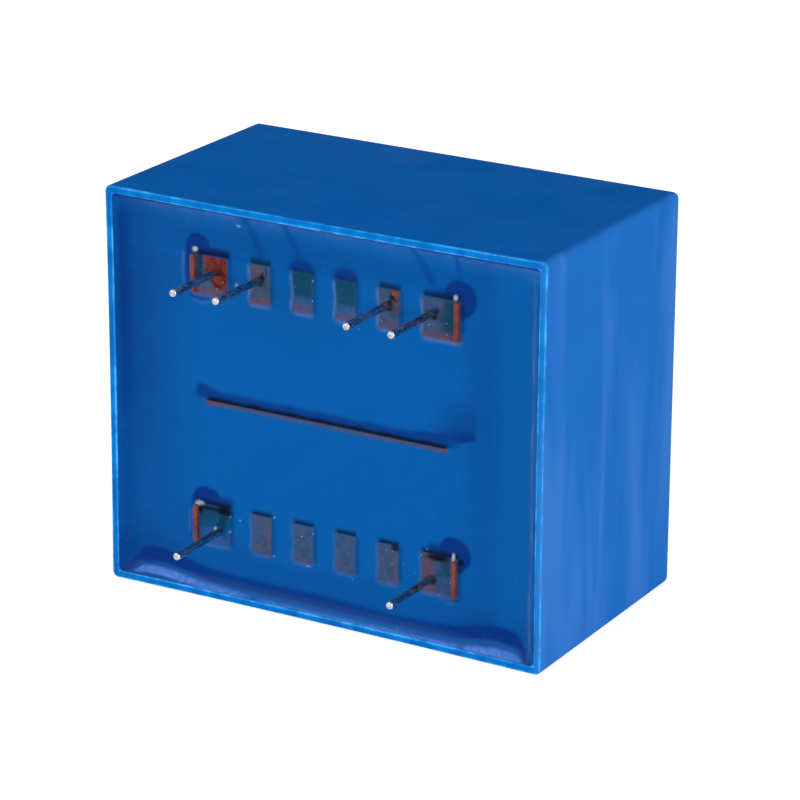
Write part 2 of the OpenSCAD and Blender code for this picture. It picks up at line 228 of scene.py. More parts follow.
def build_case(material):
    """The moulded case: an open box whose rim bows in a little between its corners."""
    bm = bmesh.new()
    add_shell(bm, CASE_W, CASE_H, CASE_D, CORNER_R)
    press_gate(bm)
    outer = set(bm.faces)
    add_shell(bm, 2 * IN_X, 2 * IN_Z, CASE_D - FLOOR_T, INNER_R)
    bmesh.ops.reverse_faces(bm, faces=[face for face in bm.faces if face not in outer])
    bmesh.ops.bridge_loops(bm, edges=[edge for edge in bm.edges if edge.is_boundary])
    bmesh.ops.recalc_face_normals(bm, faces=bm.faces)
    round_edges(bm, [e for e in bm.edges if level(e, 0) and e.calc_face_angle(0) > 1.0], 0.14 * MM, 3)

    for step in np.linspace(-CASE_W / 2, CASE_W / 2, 25)[1:-1]:
        cut(bm, (step * MM, 0, 0), (1, 0, 0))
    for step in np.linspace(-CASE_H / 2, CASE_H / 2, 21)[1:-1]:
        cut(bm, (0, 0, step * MM), (0, 0, 1))
    for step in (0.6, 1.5, 3, 5, 8, 12, 17, 22):
        cut(bm, (0, step * MM, 0), (0, 1, 0))

    for vert in bm.verts:
        x, y, z = vert.co / MM
        lean = LEAN * max(y, 0) / CASE_D
        fade = math.exp(-max(y, 0) / 6)
        bow_x = 0.13 * fade * max(0.0, 1 - (z / (CASE_H / 2)) ** 2)
        bow_z = 0.16 * fade * max(0.0, 1 - (x / (CASE_W / 2)) ** 2)
        x -= (lean + bow_x) * x / (CASE_W / 2)
        z -= (lean + bow_z) * z / (CASE_H / 2)
        vert.co = Vector((x, y, z)) * MM
    obj = finish_piece(bm, "moulded_case", material)
    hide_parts("case")
    return obj


def case_material():
    """Glossy blue moulding with flow marks in its roughness and faint scuffs, and painted light: a painted glow at the
    thin rim, painted highlight lines along its edges and painted sheen streaks on the right side.
    """
    material, tree, shader = new_material("moulded_case_plastic")
    where = place_of(tree)
    x, y, z = axes_of(tree)
    flow_and_sheen = noise(tree, place_of(tree, (1, 1, 0.16)), 0.2, 2.0, 0.45, 0.6)
    cloud = noise(tree, where, 0.11, 2.0, 0.5)
    fine = noise(tree, where, 2.4, 3.0, 0.6)
    base = mix(tree, spread(tree, cloud, 0.3, 0.7), colour(4, 104, 194), colour(8, 110, 201))

    # painted sheen: lighter streaks on the right side stand in for its reflection of the right lamp
    side = spread(tree, x, CASE_W / 2 - 1.2, CASE_W / 2 - 0.3)
    painted_sheen = maths(tree, "MULTIPLY", side, spread(tree, flow_and_sheen, 0.38, 0.68, 0.35, 1.0))
    base = mix(tree, painted_sheen, base, colour(60, 127, 210))

    # painted light: the thin rim is made lighter where light shines through the plastic
    rim = spread(tree, y, 0.5, 0.12)
    edge_noise = noise(tree, place_of(tree, (0.35, 1, 0.35)), 1.1, 4.0, 0.65)
    base = mix(tree, maths(tree, "MULTIPLY", rim, spread(tree, edge_noise, 0.3, 0.75)), base,
               colour(10, 143, 236))
    # painted highlights: bright broken lines along the rim's outer and inner edges
    edge = spread(tree, y, 0.16, 0.02)
    near_x = maths(tree, "SUBTRACT", CASE_W / 2, maths(tree, "ABSOLUTE", x))
    near_z = maths(tree, "SUBTRACT", CASE_H / 2, maths(tree, "ABSOLUTE", z))
    near = maths(tree, "MINIMUM", near_x, near_z)
    outer_glint = maths(tree, "MULTIPLY", edge, spread(tree, near, 0.3, 0.14))
    inner_glint = maths(tree, "MULTIPLY", edge, spread(tree, near, WALL - 0.12, WALL - 0.02))
    broken = spread(tree, edge_noise, 0.42, 0.62, 0.25, 1.0)
    line = maths(tree, "MULTIPLY", maths(tree, "MAXIMUM", outer_glint, inner_glint), broken)
    base = mix(tree, line, base, colour(84, 186, 255))

    scuffs = specks(tree, where, 0.8, 0.1, 0.12)
    base = mix(tree, maths(tree, "MULTIPLY", scuffs, 0.3), base, colour(110, 170, 235))
    tree.links.new(base, shader.inputs["Base Color"])
    tree.links.new(spread(tree, flow_and_sheen, 0.3, 0.75, 0.34, 0.5), shader.inputs["Roughness"])
    shader.inputs["Specular IOR Level"].default_value = 0.001
    tree.links.new(bump(tree, fine, 0.25, 0.01), shader.inputs["Normal"])
    return material


# ------------------------------------------------------------ fields over the resin's surface

GRID_X, GRID_Z = 300, 250


def smoothstep(value, low, high):
    t = np.clip((value - low) / (high - low), 0, 1)
    return t * t * (3 - 2 * t)


def hump(value, centre, width):
    return np.exp(-((value - centre) / width) ** 2)


def wave(x, seed, pieces=5, longest=18.0):
    """A smooth unhurried wobble along one direction, between about -1 and 1."""
    source = np.random.default_rng(seed)
    total = np.zeros_like(x)
    for k in range(pieces):
        length = longest / (1.6 ** k)
        total += np.sin(2 * math.pi * (x / length + source.random())) / (1.5 ** k)
    return total / 2.2


def ripple(x, z, seed, longest=6.0):
    """The same wobble in two directions."""
    return 0.6 * wave(x + 0.4 * z, seed, 4, longest) * wave(z - 0.3 * x, seed + 1, 4, longest) \
        + 0.4 * wave(0.7 * x - z, seed + 2, 4, longest)


def soft_box(x, z, left, right, low, high, soft=0.14):
    across = smoothstep(x, left - soft, left + soft) * smoothstep(-x, -right - soft, -right + soft)
    return across * smoothstep(z, low - soft, low + soft) * smoothstep(-z, -high - soft, -high + soft)


def soft_disc(x, z, at_x, at_z, wide, tall, soft=0.15):
    away = np.hypot((x - at_x) / wide, (z - at_z) / tall)
    return smoothstep(-away, -1 - soft, -1 + soft)


def stroke(x, z, start, end, width, soft=0.1):
    """A straight soft stroke between two places."""
    way = np.subtract(end, start)
    along = np.clip(((x - start[0]) * way[0] + (z - start[1]) * way[1]) / (way @ way), 0, 1)
    away = np.hypot(x - start[0] - along * way[0], z - start[1] - along * way[1])
    return smoothstep(-away, -width / 2 - soft, -width / 2 + soft)


def boss_outline(row, place):
    """Left, right, low and high edges of a boss; those at the corners reach out to the fin."""
    side = 1 if row == "A" else -1
    left = -FLANGE_X if place == 0 else place_x(place) - BOSS_W / 2
    right = FLANGE_X if place == 5 else place_x(place) + BOSS_W / 2
    low, high = sorted((side * BOSS_OUT, side * (BOSS_OUT - BOSS_L)))
    return left, right, low, high


ALL_BOSSES = [(row, place) for row in "AB" for place in range(6)]

# How clearly each boss shows through its film of resin, and how deep and green the film looks
CLEAR = {("A", 0): 0.75, ("A", 1): 0.9, ("A", 2): 0.55, ("A", 3): 0.5, ("A", 4): 0.85, ("A", 5): 0.8,
         ("B", 0): 0.3, ("B", 1): 0.8, ("B", 2): 0.8, ("B", 3): 0.78, ("B", 4): 0.8, ("B", 5): 0.7}
DEEP = {("A", 0): 0.2, ("A", 1): 0.0, ("A", 2): 0.9, ("A", 3): 0.85, ("A", 4): 0.15, ("A", 5): 0.25,
        ("B", 0): 0.75, ("B", 1): 0.0, ("B", 2): 0.0, ("B", 3): 0.0, ("B", 4): 0.1, ("B", 5): 0.3}


# ------------------------------------------------------------ resin

def low_width(x):
    """How far the curved edge of the resin reaches from the lower wall."""
    return 2.3 + 1.0 * hump(x, -19.6, 3.8) + 0.9 * hump(x, 20.2, 3.2) + 0.12 * wave(x, 3)


def resin_depth(x, z):
    """Depth of the resin's surface below the mouth, in millimetres."""
    wide_high = 2.6 + 0.4 * wave(x, 5)
    wide_left = 2.6 + 0.3 * wave(z, 7)
    wide_right = 2.0 + 0.3 * wave(z, 11)
    depth = np.full_like(x, RESIN_DROP)
    for away, wide in ((z + IN_Z, low_width(x)), (IN_Z - z, wide_high), (x + IN_X, wide_left), (IN_X - x, wide_right)):
        near = np.clip(1 - away / wide, 0, 1)
        depth = depth - (depth - RESIN_EDGE) * near ** 2.1
    depth -= 0.012 * wave(x + 0.6 * z, 13, 4, 26.0) * smoothstep(depth, 0.3, 0.8)
    raised = np.zeros_like(x)
    for boss in ALL_BOSSES:
        left, right, low, high = boss_outline(*boss)
        raised = np.maximum(raised, soft_box(x, z, left - 0.1, right + 0.1, low - 0.1, high + 0.1, 0.35))
    depth -= 0.06 * raised
    depth -= 0.05 * soft_box(x, z, -14.2, 14.2, -0.35, 0.35, 0.3)
    for place, side in ((0, 1), (5, 1), (0, -1), (5, -1)):
        fin_x = math.copysign(FLANGE_X - FIN_T / 2, place - 2.5)
        depth -= 0.16 * soft_box(x, z, fin_x - 0.25, fin_x + 0.25, side * 13.6 - 2.1, side * 13.6 + 2.1, 0.3)
    depth += 0.14 * soft_box(x, z, -14.0, -11.5, 12.4, 15.4, 0.12)
    depth += 0.2 * soft_box(x, z, 7.6, 8.5, 14.4, 15.4, 0.12)
    return depth


def paint_tone(x, z):
    """How light the open resin looks: deeper towards the left wall, and darker in a band on the right, deepest beside
    the partition's end, where it is painted shade.
    """
    tone = 0.93 - 0.62 * smoothstep(-x, 13.5, 24.2) + 0.16 * smoothstep(-x, 16, 22) * smoothstep(-z, -2, 12)
    # painted shade: a darker band on the right, deepest beside the end of the partition
    tone -= 0.40 * hump(x, 18.4, 2.4) * (0.55 + 0.45 * hump(z, 4, 9))
    tone -= 0.12 * smoothstep(z, 6, 12) * hump(x, -6, 9)
    tone -= 0.30 * hump(z, 17.4, 1.7) * smoothstep(np.abs(x), 21, 15)
    tone -= 0.28 * smoothstep(-z, 14.5, 18.0)
    tone += 0.10 * smoothstep(z, 18.3, 19.6)
    return tone + 0.05 * ripple(x, z, 21, 9.0)


def paint_navy(x, z):
    """Dark navy: the bank along the lower wall and the left wall, painted shade under the top rim, round the fins and
    by the partition, painted shadows by the bosses, and dark streaks.
    """
    low, high, left = z + IN_Z, IN_Z - z, x + IN_X
    bank_top = 2.05 + 1.25 * hump(x, -20.0, 4.6) + 1.05 * hump(x, 20.3, 3.9) - 0.25 * hump(x, 8, 5)
    bank_top -= 2.6 * smoothstep(-x, 21.6, 24.9) + 2.3 * smoothstep(x, 22.0, 24.7)
    bank_low = 0.75 + 0.95 * hump(x, -19.5, 4.0) + 0.75 * hump(x, 20.0, 3.0)
    bank_low -= 1.6 * smoothstep(-x, 22.0, 24.4) + 1.5 * smoothstep(x, 22.4, 24.4)
    navy = smoothstep(low, bank_low - 0.1, bank_low + 0.25) * smoothstep(-low, -bank_top - 0.35, -bank_top + 0.35)
    navy *= 0.82 + 0.18 * smoothstep(np.abs(x), 11, 18)
    navy = np.maximum(navy, 0.75 * smoothstep(left, 0.25, 0.7) * smoothstep(-left, -2.4, -0.9)
                      * (0.25 + 0.75 * smoothstep(z, -9, 6)) * smoothstep(high, 0.6, 2.6))
    # painted shade: a dark band just under the top rim
    navy = np.maximum(navy, 0.7 * smoothstep(-high, -0.42, -0.22))
    # painted shade: dark halos round the tips of the four corner fins
    for at_x, at_z, wide, tall in ((-14.85, 16.1, 1.55, 1.6), (15.45, 15.75, 1.95, 1.95),
                                   (-14.1, -11.1, 1.9, 1.65), (15.1, -11.0, 1.95, 1.9)):
        wobble = 1 + 0.05 * wave(np.arctan2(z - at_z, x - at_x) * 3, 17, 3, 9.0)
        navy = np.maximum(navy, soft_disc(x, z, at_x, at_z, wide * wobble, tall * wobble, 0.12))
    # painted shadows and shade above, beside and under the corner bosses
    navy = np.maximum(navy, soft_box(x, z, -14.0, -10.9, 15.4, 16.45, 0.35))
    navy = np.maximum(navy, 0.9 * soft_box(x, z, -13.2, -10.9, -12.2, -10.2, 0.4))
    navy = np.maximum(navy, 0.9 * soft_box(x, z, 12.2, 15.0, -11.2, -10.15, 0.45))
    navy = np.maximum(navy, 0.6 * soft_box(x, z, 12.6, 15.0, 15.4, 16.6, 0.5))
    navy = np.maximum(navy, 0.75 * soft_box(x, z, -15.9, -13.6, 10.75, 11.2, 0.25))
    navy = np.maximum(navy, 0.75 * soft_box(x, z, -16.35, -15.75, 12.4, 16.0, 0.25))
    # painted shadows above the third and fourth bosses of row A
    for place in (2, 3):
        at = place_x(place)
        navy = np.maximum(navy, 0.85 * soft_disc(x, z, at, 15.9, 1.5, 1.0, 0.35))
    streaks = (((-9.1, 20.3), (-8.2, 18.6), 0.7), ((-8.2, 18.6), (-7.4, 16.6), 0.9), ((-4.2, 20.3), (-3.9, 19.0), 0.6),
               ((-3.9, 19.0), (-2.9, 17.2), 0.9), ((10.4, 20.3), (11.2, 18.9), 0.7), ((11.2, 18.9), (12.4, 17.0), 0.9),
               ((15.2, 20.3), (15.5, 17.8), 0.55))
    for start, end, width in streaks:
        navy = np.maximum(navy, 0.42 * stroke(x, z, start, end, width, 0.35))
    navy = np.maximum(navy, 0.6 * stroke(x, z, (-10.6, 15.95), (-9.8, 15.95), 0.12, 0.14))
    navy = np.maximum(navy, 0.6 * stroke(x, z, (-9.8, 15.95), (-8.9, 15.5), 0.12, 0.14))
    # painted shade round the left end of the partition
    ends = 1.05 + 0.55 * hump(x, -14.6, 1.2) + 0.75 * smoothstep(x, 9, 15) + 0.1 * wave(x, 29, 4, 5.0)
    over = smoothstep(z, 0.0, 0.5) * smoothstep(-z, -ends - 0.55, -ends + 0.25)
    navy = np.maximum(navy, 0.85 * over * smoothstep(x, -15.6, -14.9) * smoothstep(-x, -16.0, -14.0))
    # painted shade: a pool of shade to the right of the partition's end
    foot = 0.3 + 0.3 * np.clip(x - 14.2, 0, 9)
    partition_shade = smoothstep(z, foot, foot + 0.4) * smoothstep(-x, -17.6, -17.2) * smoothstep(x, 11.0, 16.0)
    navy = np.maximum(navy, 0.9 * partition_shade * smoothstep(-z, -3.9, -1.6))
    navy = np.maximum(navy, 0.45 * partition_shade * smoothstep(-z, -6.5, -3.0))
    return navy


def paint_violet_highlight(x, z):
    """Painted highlight: the pale violet gleam in the curved edge along the lower wall, and its fainter painted match
    at the top.
    """
    low, high = z + IN_Z, IN_Z - z
    top = 0.33 + 0.87 * hump(x, -19.8, 4.6) + 0.52 * hump(x, 20.4, 3.0) + 0.2 * hump(x, -12.0, 3.0)
    top -= 1.15 * smoothstep(-x, 21.5, 24.4) + 0.85 * smoothstep(x, 22.4, 24.2)
    foot = 0.05 + 0.35 * hump(x, -20.0, 3.6)
    gleam = smoothstep(low, foot - 0.06, foot + 0.12) * smoothstep(-low, -top - 0.2, -top + 0.2)
    gleam *= 1 - 0.9 * hump(x, -8.2, 0.9) - 0.7 * hump(x, 16.3, 0.55)
    gleam *= 0.8 + 0.2 * smoothstep(np.abs(x + 1.5), 10, 16)
    # painted reflection: a fainter pale line under the top rim
    fade = smoothstep(high, 0.24, 0.36) * np.exp(-np.clip(high - 0.36, 0, 9) / 0.42)
    gaps = 1 - 0.9 * hump(x, -9.0, 0.5) - 0.9 * hump(x, -4.3, 0.45) - 0.9 * hump(x, 10.5, 0.5) - 0.9 * hump(x, 15.2, 0.35)
    return np.maximum(gleam, 0.45 * fade * gaps * (0.7 + 0.3 * wave(x, 41, 5, 7.0)) * smoothstep(x, -25, -19))


def paint_film(x, z):
    """Bosses seen through their film: plain grey, deep green and reddish brown shares."""
    grey, green, brown = np.zeros_like(x), np.zeros_like(x), np.zeros_like(x)
    xw = x + 0.07 * ripple(x, z, 51, 2.6)
    zw = z + 0.07 * ripple(z, x, 57, 2.6)
    for boss in ALL_BOSSES:
        left, right, low, high = boss_outline(*boss)
        area = soft_box(xw, zw, left, right, low + 0.05, high, 0.3)
        rise = np.clip((z - low) / (high - low), 0, 1)
        grey = np.maximum(grey, CLEAR[boss] * area)
        green = np.maximum(green, DEEP[boss] * area * smoothstep(rise, 0.3, 0.5))
        lower = hump(rise, 0.06, 0.13) * (0.55 if boss[0] == "A" else 0.12)
        brown = np.maximum(brown, area * lower)
    grey = np.maximum(grey, 0.8 * soft_box(x, zw, -14.0, 14.25, -0.33, 0.12, 0.14))
    brown = np.maximum(brown, soft_box(x, z, -14.0, 14.25, -0.33, 0.12, 0.14)
                       * (0.1 + 0.6 * smoothstep(np.abs(x - 0.5), 10, 14)))
    brown = np.maximum(brown, 0.6 * stroke(x, z, (-7.9, -11.75), (-6.9, -11.7), 0.3, 0.25))
    brown = np.maximum(brown, 0.4 * soft_box(x, z, -6.9, -6.4, -15.6, -11.8, 0.2))
    brown = np.maximum(brown, 0.35 * soft_box(x, z, 8.2, 8.6, -15.5, -12.0, 0.25))
    brown = np.maximum(brown, 0.5 * soft_disc(x, z, -6.9, 11.75, 0.6, 0.3, 0.6))
    brown = np.maximum(brown, 0.35 * soft_box(x, z, -8.6, -7.2, 14.2, 15.4, 0.3))
    brown = np.maximum(brown, 0.5 * soft_box(x, z, 11.5, 12.9, -15.7, -11.3, 0.3))
    brown = np.maximum(brown, 0.45 * soft_disc(x, z, 8.2, 14.1, 0.5, 0.9, 0.5))
    brown = np.maximum(brown, 0.75 * soft_box(x, z, 11.7, 14.7, 11.38, 11.62, 0.14))
    green = np.maximum(green, 0.8 * soft_box(x, z, 13.5, 14.8, 12.2, 15.4, 0.4))
    green = np.maximum(green, 0.75 * soft_box(x, z, 13.5, 14.8, -13.3, -11.9, 0.4))
    grey *= 1 - 0.75 * soft_disc(x, z, -12.4, -13.6, 1.3, 0.9, 0.5)
    return grey, green, brown


def paint_bare(x, z):
    """Where the moulding stands bare of resin: the first boss of row A and a corner of the fifth."""
    xw = x + 0.06 * ripple(x, z, 61, 2.0)
    bare = soft_box(xw, z, -14.05, -11.45, 12.15, 15.42, 0.12)
    bare = bare * (1 - soft_box(xw, z, -14.6, -13.2, 11.8, 12.9, 0.25))
    return np.maximum(bare, soft_box(xw, z, 7.65, 8.5, 14.75, 15.5, 0.12))


def paint_black(x, z):
    """Hollows and shadows: above each boss, round the pin roots and beside the fins."""
    black = np.zeros_like(x)
    for boss in ALL_BOSSES:
        left, right, low, high = boss_outline(*boss)
        tall, dark = (0.62, 0.85) if boss[0] == "A" else (0.42, 0.9)
        if DEEP[boss] > 0.8:
            tall, dark = 0.35, 0.5
        rise = smoothstep(z, high - 0.1, high + 0.1) * smoothstep(-z, -high - tall - 0.35, -high - 0.25 * tall)
        black = np.maximum(black, dark * rise * smoothstep(x, left - 0.15, left + 0.35)
                           * smoothstep(-x, -right - 0.35, -right + 0.1))
        beside = smoothstep(x, right - 0.1, right + 0.15) * smoothstep(-x, -right - 0.75, -right - 0.1)
        black = np.maximum(black, 0.42 * beside * soft_box(x, z, left, right + 2, low + 0.3, high, 0.4))
    line = 0.34 + 0.07 * wave(x, 71, 5, 4.0)
    strip = smoothstep(z, 0.03, 0.16) * smoothstep(-z, -line - 0.38, -line + 0.05)
    black = np.maximum(black, 0.97 * strip * smoothstep(x, -14.4, -13.6) * smoothstep(-x, -14.6, -13.8))
    spots = ((-7.2, 14.25, 0.28, 0.5, 0.9), (-7.55, 13.4, 0.35, 0.17, 0.85), (-6.75, 14.9, 0.12, 0.55, 0.7),
             (7.75, 14.75, 0.22, 0.45, 0.95), (7.45, 13.5, 0.4, 0.25, 0.8), (8.2, 14.55, 0.35, 0.3, 0.75),
             (12.55, 13.5, 0.4, 0.25, 0.85), (12.95, 14.2, 0.35, 0.35, 0.7), (12.6, -14.1, 0.55, 0.5, 0.85),
             (-12.0, -11.7, 0.9, 0.5, 1.0), (-14.9, -11.95, 0.35, 0.45, 0.95), (8.4, -11.55, 0.5, 0.35, 0.9),
             (13.3, -11.6, 1.3, 0.38, 0.95), (15.9, -11.6, 0.35, 0.4, 0.95), (-12.5, 12.45, 0.5, 0.12, 0.7))
    for at_x, at_z, wide, tall, dark in spots:
        black = np.maximum(black, dark * soft_disc(x, z, at_x, at_z, wide, tall, 0.45))
    strokes = (((-13.4, 12.95), (-12.75, 12.5), 0.2, 0.85), ((-12.75, 12.5), (-12.2, 12.45), 0.22, 0.85),
               ((-14.6, 15.5), (-14.6, 13.3), 0.55, 0.6), ((-14.8, -11.75), (-12.6, -11.7), 0.35, 0.9),
               ((-15.05, 15.4), (-15.05, 12.6), 0.12, 0.5), ((14.65, 15.3), (14.65, 12.2), 0.1, 0.35),
               ((15.75, 15.3), (15.85, 11.8), 0.2, 0.45), ((14.85, -15.7), (15.65, -15.75), 0.18, 0.8),
               ((12.7, -13.7), (13.2, -13.5), 0.16, 0.6), ((13.2, -13.5), (14.6, -13.2), 0.3, 0.3),
               ((-12.4, -13.4), (-12.1, -12.4), 0.9, 0.45))
    for start, end, width, dark in strokes:
        black = np.maximum(black, dark * stroke(x, z, start, end, width, 0.16))
    for place in (1, 2, 3, 4):
        at = place_x(place) + 0.25
        mark = soft_disc(x, z, at, -14.15, 0.42, 0.42, 0.4) - 0.8 * soft_disc(x, z, at - 0.05, -14.1, 0.24, 0.22, 0.5)
        black = np.maximum(black, 0.38 * np.clip(mark, 0, 1) * (0.6 + 0.4 * ripple(x, z, 81 + place, 1.5)))
    return black


def paint_pale(x, z):
    """Painted highlights: thin pale lines where the film turns down at the left and lower edges of each boss, pale
    strokes round some bosses and a pale line along the right wall.
    """
    pale = np.zeros_like(x)
    for boss in ALL_BOSSES:
        left, right, low, high = boss_outline(*boss)
        row, place = boss
        strong = 0.55 if row == "A" else 0.22
        side = hump(x - left + 0.16 - 0.2 * hump(z, (low + high) / 2, 1.0), 0, 0.17)
        side = side * soft_box(x, z, left - 1, left + 1, low + 0.2, high - 0.2, 0.4)
        under = hump(z - low + 0.12, 0, 0.2) * soft_box(x, z, left + 0.1, right - 0.1, low - 1, low + 1, 0.4)
        if place == 0:
            side, under = 0 * side, 0.5 * under
        pale = np.maximum(pale, strong * np.maximum(side, under))
    highlight_strokes = (((-16.6, 15.4), (-16.75, 13.2), 0.5), ((-16.75, 13.2), (-16.5, 11.6), 0.4), ((-16.2, -12.2), (-16.3, -14.6), 0.4),
             ((-15.6, 10.7), (-14.6, 10.35), 0.4), ((-14.6, 10.35), (-13.4, 10.7), 0.4), ((13.6, -16.0), (15.0, -16.3), 0.3),
             ((-14.4, -15.85), (-11.6, -15.75), 0.5), ((15.6, 11.2), (15.95, 12.2), 0.45), ((11.8, 11.15), (15.5, 11.1), 0.3))
    for start, end, strong in highlight_strokes:
        pale = np.maximum(pale, strong * stroke(x, z, start, end, 0.12, 0.26))
    # painted highlight: a pale line along the right wall
    right, left, high = IN_X - x, x + IN_X, IN_Z - z
    pale = np.maximum(pale, 0.5 * hump(right, 0.85 + 0.1 * wave(z, 91, 4, 14.0), 0.14) * smoothstep(high, 0.8, 2.4)
                      * (0.55 + 0.45 * wave(z, 93, 4, 9.0)))
    pale = np.maximum(pale, 0.4 * soft_box(x, z, 8.8, 9.0, -20.4, -19.9, 0.12))
    return pale


def paint_glints(x, z):
    """Small whitish glints where the resin climbs to the tips of the fins, and stray bright dots."""
    spots = ((-15.2, 16.0, 0.3, 0.22, 0.75), (-15.4, 15.35, 0.12, 0.12, 0.6), (-15.3, 14.85, 0.13, 0.13, 0.8),
             (15.0, 15.9, 0.2, 0.26, 0.7), (-14.95, -11.3, 0.5, 0.22, 0.5), (-15.3, -11.6, 0.25, 0.2, 0.5),
             (15.05, -11.2, 0.16, 0.42, 0.65), (-13.1, -13.85, 0.17, 0.22, 0.6), (11.55, -14.5, 0.1, 0.14, 0.7),
             (-10.3, 12.95, 0.1, 0.2, 0.6), (-9.85, 19.25, 0.22, 0.1, 0.5), (-11.3, -13.8, 0.1, 0.1, 0.45),
             (-10.1, -12.3, 0.16, 0.07, 0.45), (-5.95, -11.15, 0.12, 0.08, 0.45), (-1.9, -15.6, 0.2, 0.08, 0.4))
    glints = np.zeros_like(x)
    for at_x, at_z, wide, tall, strong in spots:
        glints = np.maximum(glints, strong * soft_disc(x, z, at_x, at_z, wide, tall, 0.5))
    return glints


def paint_dust(x, z):
    """How thick the fine specks lie: mostly round the bosses."""
    dust = np.full_like(x, 0.12)
    for boss in ALL_BOSSES:
        left, right, low, high = boss_outline(*boss)
        dust = np.maximum(dust, soft_box(x, z, left - 0.6, right + 0.6, low - 0.6, high + 0.5, 0.6))
    return dust * smoothstep(IN_Z - np.abs(z), 0.6, 1.4)


def store(mesh, name, channels):
    """Keeps three painted fields in one colour attribute."""
    layer = mesh.attributes.new(name, "FLOAT_COLOR", "POINT")
    values = np.ones((len(mesh.vertices), 4))
    for index, channel in enumerate(channels):
        values[:, index] = np.clip(channel, 0, 1)
    layer.data.foreach_set("color", values.reshape(-1))


def build_resin(material):
    """The cast resin, from its surface down to the floor of the case."""
    bm = bmesh.new()
    turn = Matrix.Rotation(math.radians(90), 4, "X")
    bmesh.ops.create_grid(bm, x_segments=GRID_X, y_segments=GRID_Z, size=0.5 * MM, matrix=turn)
    bmesh.ops.scale(bm, vec=(2 * IN_X, 1, 2 * IN_Z), verts=bm.verts)
    places = np.array([vert.co for vert in bm.verts]) / MM
    for vert, deep in zip(bm.verts, resin_depth(places[:, 0], places[:, 2])):
        vert.co.y = deep * MM
    rim = [edge for edge in bm.edges if edge.is_boundary]
    walls = bmesh.ops.extrude_edge_only(bm, edges=rim)
    for item in walls["geom"]:
        if isinstance(item, bmesh.types.BMVert):
            item.co.y = (CASE_D - FLOOR_T) * MM
    bmesh.ops.holes_fill(bm, edges=[edge for edge in bm.edges if edge.is_boundary])
    bmesh.ops.recalc_face_normals(bm, faces=bm.faces)
    obj = finish_piece(bm, "cast_resin", material)

    places = np.empty(len(obj.data.vertices) * 3)
    obj.data.vertices.foreach_get("co", places)
    x, z = places[0::3] / MM, places[2::3] / MM
    grey, green, brown = paint_film(x, z)
    store(obj.data, "open_resin", (paint_tone(x, z), paint_navy(x, z), paint_violet_highlight(x, z)))
    store(obj.data, "film", (grey, green, brown))
    store(obj.data, "relief", (paint_bare(x, z), paint_black(x, z), paint_pale(x, z)))
    store(obj.data, "bright", (paint_glints(x, z), paint_dust(x, z), np.zeros_like(x)))
    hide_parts("potting_resin")
    return obj


def resin_material():
    """Blue casting resin, with the pin bosses showing through their thin film of it, and painted shade, shadows,
    highlights and glints on its surface.
    """
    material, tree, shader = new_material("cast_resin")
    tone, navy, violet = attribute(tree, "open_resin")
    grey, green, brown = attribute(tree, "film")
    bare, black, pale = attribute(tree, "relief")
    glint, dust, _ = attribute(tree, "bright")
    where = place_of(tree)
    fine = noise(tree, where, 1.7, 4.0, 0.6)
    grain = noise(tree, place_of(tree, (0.25, 1, 1)), 1.2, 3.0, 0.55)

    # tone of the open resin, with a band of painted shade on the right
    base = mix(tree, tone, colour(0, 60, 130), colour(0, 98, 178))
    base = mix(tree, maths(tree, "MULTIPLY", spread(tree, grain, 0.45, 0.8), 0.12), base, colour(20, 108, 190))
    # navy bank along the walls, with painted shade and shadows in it
    base = mix(tree, navy, base, colour(0, 52, 132))
    # painted highlight: the violet gleam along the lower wall
    gleam = mix(tree, spread(tree, fine, 0.35, 0.7), colour(62, 118, 206), colour(96, 138, 222))
    base = mix(tree, violet, base, gleam)
    moulding = mix(tree, spread(tree, fine, 0.3, 0.7), colour(48, 80, 112), colour(84, 86, 100))
    base = mix(tree, grey, base, moulding)
    base = mix(tree, green, base, colour(0, 70, 94))
    base = mix(tree, brown, base, mix(tree, fine, colour(96, 60, 62), colour(132, 70, 62)))
    # painted highlights: pale lines at the boss edges
    base = mix(tree, pale, base, mix(tree, fine, colour(70, 124, 190), colour(118, 134, 186)))
    plastic = mix(tree, spread(tree, fine, 0.3, 0.7), colour(88, 38, 36), colour(136, 56, 46))
    base = mix(tree, bare, base, plastic)
    # painted shadows and shade
    base = mix(tree, black, base, colour(0, 13, 28))
    dots = maths(tree, "MULTIPLY", specks(tree, where, 1.5, 0.16, 0.16), dust)
    base = mix(tree, maths(tree, "MULTIPLY", dots, 0.7), base, colour(150, 190, 225))
    # painted glints
    base = mix(tree, glint, base, colour(205, 225, 238))
    tree.links.new(base, shader.inputs["Base Color"])
    tree.links.new(spread(tree, bare, 0.2, 0.8, 0.16, 0.5), shader.inputs["Roughness"])
    shader.inputs["Specular IOR Level"].default_value = 0.04
    return material


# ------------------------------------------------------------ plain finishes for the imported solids

def former_material():
    material, tree, shader = new_material("coil_former_plastic")
    where = place_of(tree)
    cloud = noise(tree, where, 0.9, 3.0, 0.6)
    base = mix(tree, spread(tree, cloud, 0.3, 0.7), colour(96, 42, 40), colour(132, 60, 52))
    tree.links.new(base, shader.inputs["Base Color"])
    tree.links.new(bump(tree, cloud, 0.3, 0.02), shader.inputs["Normal"])
    shader.inputs["Roughness"].default_value = 0.45
    shader.inputs["Specular IOR Level"].default_value = 0.3
    return material


def tinned_material():
    material, tree, shader = new_material("tinned_steel")
    where = place_of(tree, (1, 0.25, 1))
    streak = noise(tree, where, 4.0, 4.0, 0.6)
    base = mix(tree, spread(tree, streak, 0.3, 0.7), colour(150, 150, 158), colour(205, 203, 200))
    tree.links.new(base, shader.inputs["Base Color"])
    tree.links.new(spread(tree, streak, 0.3, 0.7, 0.16, 0.3), shader.inputs["Roughness"])
    shader.inputs["Metallic"].default_value = 1.0
    return material


